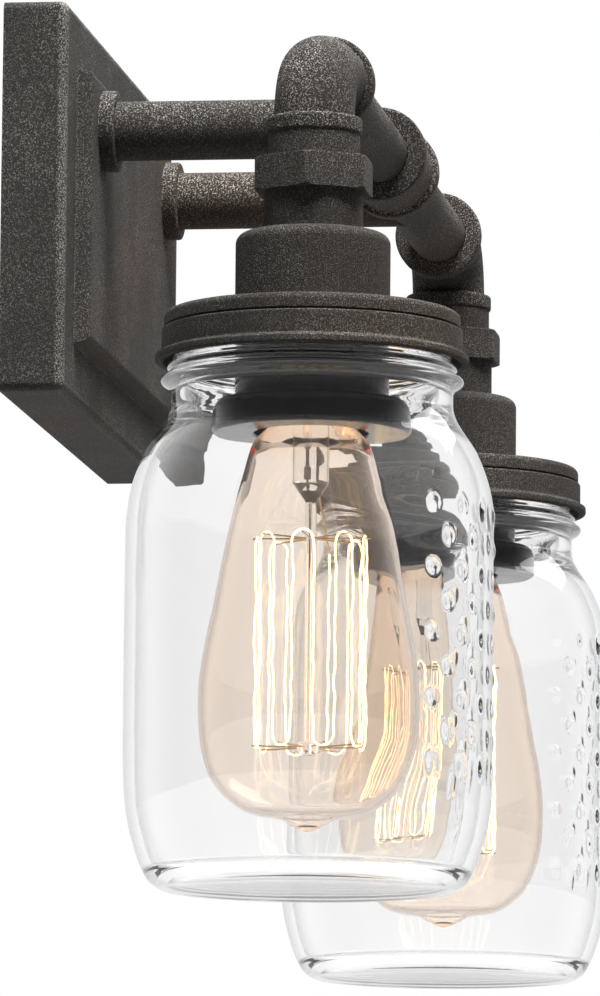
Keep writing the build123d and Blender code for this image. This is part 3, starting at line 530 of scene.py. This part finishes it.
jar_glass = clear_glass("clear_jar_glass", tint=(0.32, 0.34, 0.34), density=8.0, rim=(0.16, 0.165, 0.17),
                        shaded_rim_reach=0.45, ior=1.5, ripple_scale=45.0, ripple=0.06)
hobnails = hobnail_tree(jar_glass)
for side in SIDES:
    low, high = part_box(f"jar_{side}")
    axis = (low + high) / 2
    level = {name: high.z - drop for name, drop in jar_below_top.items()}
    level.update({name: low.z + rise for name, rise in jar_above_foot.items()})
    swell = jar_body_radius - jar_neck_radius
    draw_in = jar_body_radius - jar_foot_radius
    shoulder_drop = level["shoulder"] - level["body"]
    heel_drop = level["heel"] - level["foot"]
    shoulder = [(jar_neck_radius + out * swell, level["shoulder"] - drop * shoulder_drop)
                for out, drop in shoulder_shares]
    heel = [(jar_body_radius - drawn * draw_in, level["heel"] - drop * heel_drop)
            for drawn, drop in heel_shares]
    neck = [(jar_neck_radius + out, level[name]) for name, out in neck_swell.items()]
    neck += [(jar_bead_radius, level["bead"]), (jar_neck_radius, level["bead_foot"])]
    throat, rim = jar_rim["inner"], jar_rim["outer"]
    bore = jar_body_radius - jar_wall

    outer = [(throat + lip_inset, high.z)] + [(rim - inset, high.z - drop) for inset, drop in lip_round]
    outer += straight((rim, high.z - thread_band["below_top"]),
                      (rim, level["lid_foot"] + thread_band["above_lid_foot"]), step=0.0005)
    outer += curve_through(neck, start=(0.3, -1), end=(-0.3, -1), steps=7)
    outer += straight((jar_neck_radius, level["bead_foot"] - neck_run), shoulder[0], step=0.001)[:-1]
    outer += curve_through(shoulder, start=down, end=down, steps=12)[:-1]
    outer += straight(shoulder[-1], heel[0], step=0.0007)[:-1]
    wall_run = curve_through(heel, start=down, end=(-1, -0.5), steps=14)
    outer += wall_run
    ring = jar_foot_radius - foot_ring
    outer.append((ring, level["foot"]))
    outer += [(ring * share, level["push_up"] - (level["push_up"] - level["foot"]) * share**2)
              for share in dish_shares]

    floor_edge = (jar_foot_radius - floor_inset, level["foot"] + jar_wall)
    inner = [(floor_edge[0] * share, level["floor"] - (level["floor"] - floor_edge[1]) * share**2)
             for share in dish_shares[:0:-1]]
    inner_heel = []
    for before, here, after in reversed(list(zip(wall_run, wall_run[1:], wall_run[2:]))):
        way = Vector((after[0] - before[0], after[1] - before[1])).normalized()
        if here[1] - jar_wall * way.x > level["foot"] + 2 * jar_wall:
            inner_heel.append((here[0] + jar_wall * way.y, here[1] - jar_wall * way.x))
    inner += curve_through([floor_edge, inner_heel[0]], start=(1, 0), end=(0.5, 0.86), steps=10)[:-1]
    inner += inner_heel
    inner += straight((bore, level["heel"]), (bore, level["body"]), step=0.004)[:-1]
    inner_shoulder = [(radius - jar_wall, height) for radius, height in reversed(shoulder)]
    inner_shoulder[-1] = (throat, level["shoulder"])
    inner += curve_through(inner_shoulder, start=up, end=up, steps=10)
    inner += straight((throat, level["shoulder"] + throat_run), (throat, high.z - lip_inset), step=0.003)

    # Fine steps across the hobnails, coarser ones round the back.
    front = [radians(tenths / 10) for tenths in range(-520, 520, 7)]
    back = [radians(degrees) for degrees in range(55, 308, 3)]
    jar = turned(f"glass_jar_{side}", outer + inner, front + back, axis)
    for vertex in jar.data.vertices:
        out = vertex.co - axis
        radius = hypot(out.x, out.y)
        on_rim = radius > rim - thread_ends["off_rim"]
        above, below = level["lid_foot"] + thread_ends["above_lid_foot"], high.z - thread_ends["below_top"]
        if on_rim and above < vertex.co.z < below:
            turn = atan2(out.y, out.x) / (2 * pi)
            wave = cos(2 * pi * ((high.z - vertex.co.z) / thread_pitch - turn))
            grow = thread_height * max(0.0, wave) / radius
            vertex.co.x += out.x * grow
            vertex.co.y += out.y * grow
    field = jar.modifiers.new("hobnails", "NODES")
    field.node_group = hobnails
    set_inputs(field, {**hobnail, "Axis X": axis.x, "Axis Y": axis.y, "Wall Radius": jar_body_radius,
                       "Middle": (level["body"] + level["heel"]) / 2 - hobnails_lower})
    jar = plain_mesh(jar)
    jar.data.set_sharp_from_angle(angle=radians(60))
    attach(jar, f"glass_jar_{side}")
    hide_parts(f"jar_{side}")

# Filament lamps: thin amber glass, blown in a pear mould, drawn off at the tip and sealed to a brass base that
# screws into the socket's shell. A clear stem with a pressed foot holds the core, its hooks and the long
# carbon strand that glows.
lamp_wall = 0.0008
lamp_radius = 0.032
pear_shares = ((0.54, 0.064), (0.71, 0.237), (0.85, 0.434), (0.984, 0.66), (0.903, 0.852), (0.616, 0.943),
               (0.28, 0.967))
nib_share = (0.14, 0.986)
neck_radius = 0.01255
cage_radius = 0.0154
cage_runs = 16
turn_steps = 8
strand_radius = 0.0003
strand = {"Radius": strand_radius, "Waver": 0.0016, "Waver Scale": 140.0, "Step": 0.0012}
lamp_facets = 96
lamp_glass = clear_glass("amber_glass", tint=(0.93, 0.57, 0.2), density=210.0, rim=(0.1, 0.05, 0.02),
                         shaded_rim_reach=0.4, ior=1.45, ripple_scale=60.0, ripple=0.02)
stem_glass = clear_glass("clear_stem_glass", tint=(0.5, 0.5, 0.5), density=5.0, rim=(0.6, 0.58, 0.55),
                         shaded_rim_reach=0.4, ior=1.5, ripple_scale=200.0, ripple=0.05)

glow, glow_tree, glow_shader, glow_place = new_material("glowing_strand")
glow_heat = range_node(glow_tree, noise_node(glow_tree, glow_place, 160.0, 2.0), 0.3, 0.7)
glow_tree.links.new(mix_node(glow_tree, glow_heat, (1.0, 0.72, 0.36), (1.0, 0.82, 0.52)),
                    glow_shader.inputs["Emission Color"])
glow_tree.links.new(mix_node(glow_tree, glow_heat, (0.3, 0.16, 0.06), (0.4, 0.25, 0.1)),
                    glow_shader.inputs["Base Color"])
glow_shader.inputs["Emission Strength"].default_value = 3.2
glow_shader.inputs["Roughness"].default_value = 0.6
hook_wire = mottled("hook_wire", (0.5, 0.36, 0.2), (0.62, 0.48, 0.3),
                    scale=500.0, metallic=1.0, roughness=0.35)
solder = mottled("solder_cap", (0.5, 0.5, 0.48), (0.68, 0.67, 0.65),
                 scale=700.0, metallic=1.0, roughness=0.38)


def strand_tree():
    """A strand of given thickness along a curve, with the slight waver of a carbon filament."""
    tree = bpy.data.node_groups.new("glowing_strand", "GeometryNodeTree")
    tree.interface.new_socket(name="Geometry", in_out="INPUT", socket_type="NodeSocketGeometry")
    for name in strand:
        tree.interface.new_socket(name=name, in_out="INPUT", socket_type="NodeSocketFloat")
    tree.interface.new_socket(name="Geometry", in_out="OUTPUT", socket_type="NodeSocketGeometry")
    given = tree.nodes.new("NodeGroupInput").outputs
    even = tree.nodes.new("GeometryNodeResampleCurve")
    even.mode = "LENGTH"
    tree.links.new(given["Geometry"], even.inputs["Curve"])
    tree.links.new(given["Step"], even.inputs["Length"])
    noise = tree.nodes.new("ShaderNodeTexNoise")
    noise.inputs["Detail"].default_value = 1.0
    tree.links.new(given["Waver Scale"], noise.inputs["Scale"])
    tree.links.new(tree.nodes.new("GeometryNodeInputPosition").outputs[0], noise.inputs["Vector"])
    centred = tree.nodes.new("ShaderNodeVectorMath")
    centred.operation = "SUBTRACT"
    tree.links.new(noise.outputs["Color"], centred.inputs[0])
    centred.inputs[1].default_value = (0.5, 0.5, 0.5)
    waver = tree.nodes.new("ShaderNodeVectorMath")
    waver.operation = "SCALE"
    tree.links.new(centred.outputs[0], waver.inputs[0])
    tree.links.new(given["Waver"], waver.inputs["Scale"])
    moved = tree.nodes.new("GeometryNodeSetPosition")
    tree.links.new(even.outputs[0], moved.inputs["Geometry"])
    tree.links.new(waver.outputs[0], moved.inputs["Offset"])
    section = tree.nodes.new("GeometryNodeCurvePrimitiveCircle")
    section.inputs["Resolution"].default_value = 8
    tree.links.new(given["Radius"], section.inputs["Radius"])
    tube = tree.nodes.new("GeometryNodeCurveToMesh")
    tree.links.new(moved.outputs[0], tube.inputs["Curve"])
    tree.links.new(section.outputs[0], tube.inputs["Profile Curve"])
    tube.inputs["Fill Caps"].default_value = True
    realised = tree.nodes.new("GeometryNodeRealizeInstances")
    tree.links.new(tube.outputs[0], realised.inputs[0])
    dressed = tree.nodes.new("GeometryNodeSetMaterial")
    dressed.inputs["Material"].default_value = glow
    tree.links.new(realised.outputs[0], dressed.inputs["Geometry"])
    tree.links.new(dressed.outputs[0], tree.nodes.new("NodeGroupOutput").inputs[0])
    return tree


strands = strand_tree()
round_turn = [2 * pi * step / lamp_facets for step in range(lamp_facets)]
for side in SIDES:
    body = f"filament_lamp_{side}"
    low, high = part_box(f"lamp_glass_{side}")
    axis = (low + high) / 2
    base_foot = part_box(f"lamp_base_{side}")[0].z
    length = base_foot - low.z
    pear = [(lamp_radius * across, base_foot - length * along) for across, along in pear_shares]
    nib = (lamp_radius * nib_share[0], base_foot - length * nib_share[1])
    skin = [(neck_radius, high.z), (neck_radius, base_foot)]
    skin += curve_through([(neck_radius, base_foot), pear[0]], start=(1, -1), end=(0.3, -1), steps=8)[1:-1]
    belly = curve_through(pear, start=(0.3, -1), end=(-1, -0.12), steps=14)
    belly += curve_through([pear[-1], nib, (0, low.z)], start=(-1, -0.12), end=inwards, steps=8)[1:]
    skin += belly
    hollow = [(0, low.z + 2 * lamp_wall)]
    for before, here, after in reversed(list(zip(belly, belly[1:], belly[2:]))):
        way = Vector((after[0] - before[0], after[1] - before[1])).normalized()
        inside = (here[0] + lamp_wall * way.y, here[1] - lamp_wall * way.x)
        if inside[0] > lamp_wall and inside[1] > hollow[-1][1]:
            hollow.append(inside)
    hollow += [(neck_radius - lamp_wall, base_foot), (neck_radius - lamp_wall, high.z)]
    bulb = turned(f"lamp_bulb_{side}", skin + hollow, round_turn, axis)
    bulb.data.materials.append(lamp_glass)
    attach(bulb, body)
    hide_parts(f"lamp_glass_{side}")

    cage_low, cage_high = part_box(f"lamp_filament_{side}")
    half_turn = cage_radius * sin(pi / cage_runs)
    cage_floor = cage_low.z + half_turn + strand_radius
    cage_ceiling = cage_high.z - half_turn - strand_radius
    path = bpy.data.curves.new(f"lamp_strand_{side}", "CURVE")
    path.dimensions = "3D"
    spots = []
    for index in range(cage_runs):
        angle = 2 * pi * (index + 0.5) / cage_runs
        post = Vector((axis.x + cage_radius * cos(angle), axis.y + cage_radius * sin(angle), 0))
        ends = (cage_ceiling, cage_floor) if index % 2 == 0 else (cage_floor, cage_ceiling)
        spots += [post + Vector((0, 0, end)) for end in ends]
        if index + 1 == cage_runs:
            continue
        after = 2 * pi * (index + 1.5) / cage_runs
        target = Vector((axis.x + cage_radius * cos(after), axis.y + cage_radius * sin(after), 0))
        bend = -half_turn if index % 2 == 0 else half_turn
        for step in range(1, turn_steps):
            turn = pi * step / turn_steps
            spots.append(post.lerp(target, (1 - cos(turn)) / 2) + Vector((0, 0, ends[1] + bend * sin(turn))))
    run = path.splines.new("POLY")
    run.points.add(len(spots) - 1)
    for point, spot in zip(run.points, spots):
        point.co = (*spot, 1.0)
    filament = bpy.data.objects.new(f"lamp_strand_{side}", path)
    bpy.context.scene.collection.objects.link(filament)
    glowing = filament.modifiers.new("strand", "NODES")
    glowing.node_group = strands
    set_inputs(glowing, strand)
    filament = plain_mesh(filament)
    filament.name = f"lamp_strand_{side}"
    filament.data.shade_smooth()
    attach(filament, body)
    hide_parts(f"lamp_filament_{side}")
    finish_node(f"lamp_stem_{side}", stem_glass)
    finish_node(f"lamp_supports_{side}", hook_wire)
    finish_node(f"lamp_base_{side}", brass)
    finish_node(f"lamp_button_{side}", solder)

# Stage: a pale floor well below the light that runs out into a white sheet facing the camera, with a dimmer
# room beside and behind the camera for glass to mirror. One large soft box hangs overhead to the left, and a
# small one at the right.
floor_level = -1.4
floor_reach = 60.0
floor_white_near, floor_white_far = 0.62, 0.885
sweep_starts, sweep_ends = 1.5, 7.0
floor_mesh = bpy.data.meshes.new("floor")
floor_mesh.from_pydata([(x * floor_reach, y * floor_reach, floor_level)
                        for x, y in ((-1, -1), (1, -1), (1, 1), (-1, 1))], [], [(0, 1, 2, 3)])
floor = bpy.data.objects.new("floor", floor_mesh)
bpy.context.scene.collection.objects.link(floor)
floor_paint, floor_tree, floor_shader, floor_place = new_material("pale_floor")
floor_shader.inputs["Base Color"].default_value = (0.82, 0.82, 0.82, 1)
floor_shader.inputs["Roughness"].default_value = 0.9
floor_path = floor_tree.nodes.new("ShaderNodeLightPath").outputs
floor_seen = math_node(floor_tree, "MAXIMUM", floor_path["Is Camera Ray"], math_node(
    floor_tree, "MAXIMUM", floor_path["Is Glossy Ray"], floor_path["Is Transmission Ray"]))
floor_white = floor_tree.nodes.new("ShaderNodeEmission")
floor_away = floor_tree.nodes.new("ShaderNodeVectorMath")
floor_away.operation = "LENGTH"
floor_tree.links.new(floor_place, floor_away.inputs[0])
floor_sweep = range_node(floor_tree, floor_away.outputs["Value"], sweep_starts, sweep_ends,
                         floor_white_near, floor_white_far)
floor_strength = math_node(floor_tree, "MULTIPLY", floor_seen, floor_sweep)
floor_tree.links.new(floor_strength, floor_white.inputs["Strength"])
floor_sum = floor_tree.nodes.new("ShaderNodeAddShader")
floor_tree.links.new(floor_shader.outputs[0], floor_sum.inputs[0])
floor_tree.links.new(floor_white.outputs[0], floor_sum.inputs[1])
floor_tree.links.new(floor_sum.outputs[0], floor_tree.nodes["Material Output"].inputs["Surface"])
floor_mesh.materials.append(floor_paint)

sheet_ends, sheet_full, dim_room = 0.0, 0.8, 0.2
room_light = 0.14
world = bpy.data.worlds.new("white_room")
bpy.context.scene.world = world
world.use_nodes = True
room = world.node_tree
room.nodes.clear()
path_kind = room.nodes.new("ShaderNodeLightPath").outputs
seen = math_node(room, "MAXIMUM", path_kind["Is Camera Ray"], math_node(
    room, "MAXIMUM", path_kind["Is Glossy Ray"], path_kind["Is Transmission Ray"]))
backdrop = room.nodes.new("ShaderNodeBackground")
soft_light = room.nodes.new("ShaderNodeBackground")
soft_light.inputs["Strength"].default_value = room_light
chosen = room.nodes.new("ShaderNodeMixShader")
off_axis = room.nodes.new("ShaderNodeSeparateXYZ")
room.links.new(room.nodes.new("ShaderNodeTexCoord").outputs["Camera"], off_axis.inputs[0])
sheet = range_node(room, off_axis.outputs["Z"], sheet_ends, sheet_full, dim_room, 1.0)
room.links.new(math_node(room, "MAXIMUM", path_kind["Is Camera Ray"], sheet), backdrop.inputs["Strength"])
room.links.new(seen, chosen.inputs[0])
room.links.new(soft_light.outputs[0], chosen.inputs[1])
room.links.new(backdrop.outputs[0], chosen.inputs[2])
room.links.new(chosen.outputs[0], room.nodes.new("ShaderNodeOutputWorld").inputs["Surface"])
for background in (backdrop, soft_light):
    background.inputs["Color"].default_value = (1, 1, 1, 1)
lit_spot = Vector((0, -0.08, 0))


def soft_box(name, place, width, height, power):
    """A rectangular light turned towards the middle of the part."""
    lamp = bpy.data.lights.new(name, "AREA")
    lamp.shape = "RECTANGLE"
    lamp.size = width
    lamp.size_y = height
    lamp.energy = power
    holder = bpy.data.objects.new(name, lamp)
    holder.matrix_world = Matrix.Translation(place) @ (
        lit_spot - Vector(place)).to_track_quat("-Z", "Y").to_matrix().to_4x4()
    bpy.context.scene.collection.objects.link(holder)
    return holder


high_box = soft_box("high_box", (-0.6, -0.45, 1.6), width=1.2, height=0.9, power=90.0)
high_box.visible_glossy = False
high_box.visible_transmission = False
soft_box("right_box", (0.9, -0.9, 1.1), width=0.8, height=0.8, power=7.0)

# Camera: a long lens far off to the left of the light and a little below it, looking along the bar and
# slightly up. Its place and turn were fitted to the pan, the fittings, the lids and the lamps.
camera_place = Vector((-2.5239, -0.4252, -0.4206))
camera_right = Vector((0.136648, -0.990602, 0.005947))
camera_up = Vector((-0.133188, -0.012423, 0.991013))
camera_roll = radians(0.22)
camera_pan = radians(0.017)
camera_lens = 304.94
glass_bounces = 32
turned_right = camera_right * cos(camera_roll) + camera_up * sin(camera_roll)
turned_up = camera_up * cos(camera_roll) - camera_right * sin(camera_roll)
turned_right = (Matrix.Rotation(-camera_pan, 3, turned_up) @ turned_right).normalized()
camera_data = bpy.data.cameras.new("camera")
camera_data.lens = camera_lens
camera_data.sensor_width = 36.0
camera_data.clip_end = 100.0
camera = bpy.data.objects.new("camera", camera_data)
camera.matrix_world = Matrix.Translation(camera_place) @ Matrix(
    (turned_right, turned_up, turned_right.cross(turned_up))).transposed().to_4x4()
bpy.context.scene.collection.objects.link(camera)
bpy.context.scene.camera = camera
bpy.context.scene.view_settings.view_transform = "Standard"
bpy.context.scene.cycles.max_bounces = glass_bounces
bpy.context.scene.cycles.transmission_bounces = glass_bounces
bpy.context.scene.cycles.glossy_bounces = glass_bounces
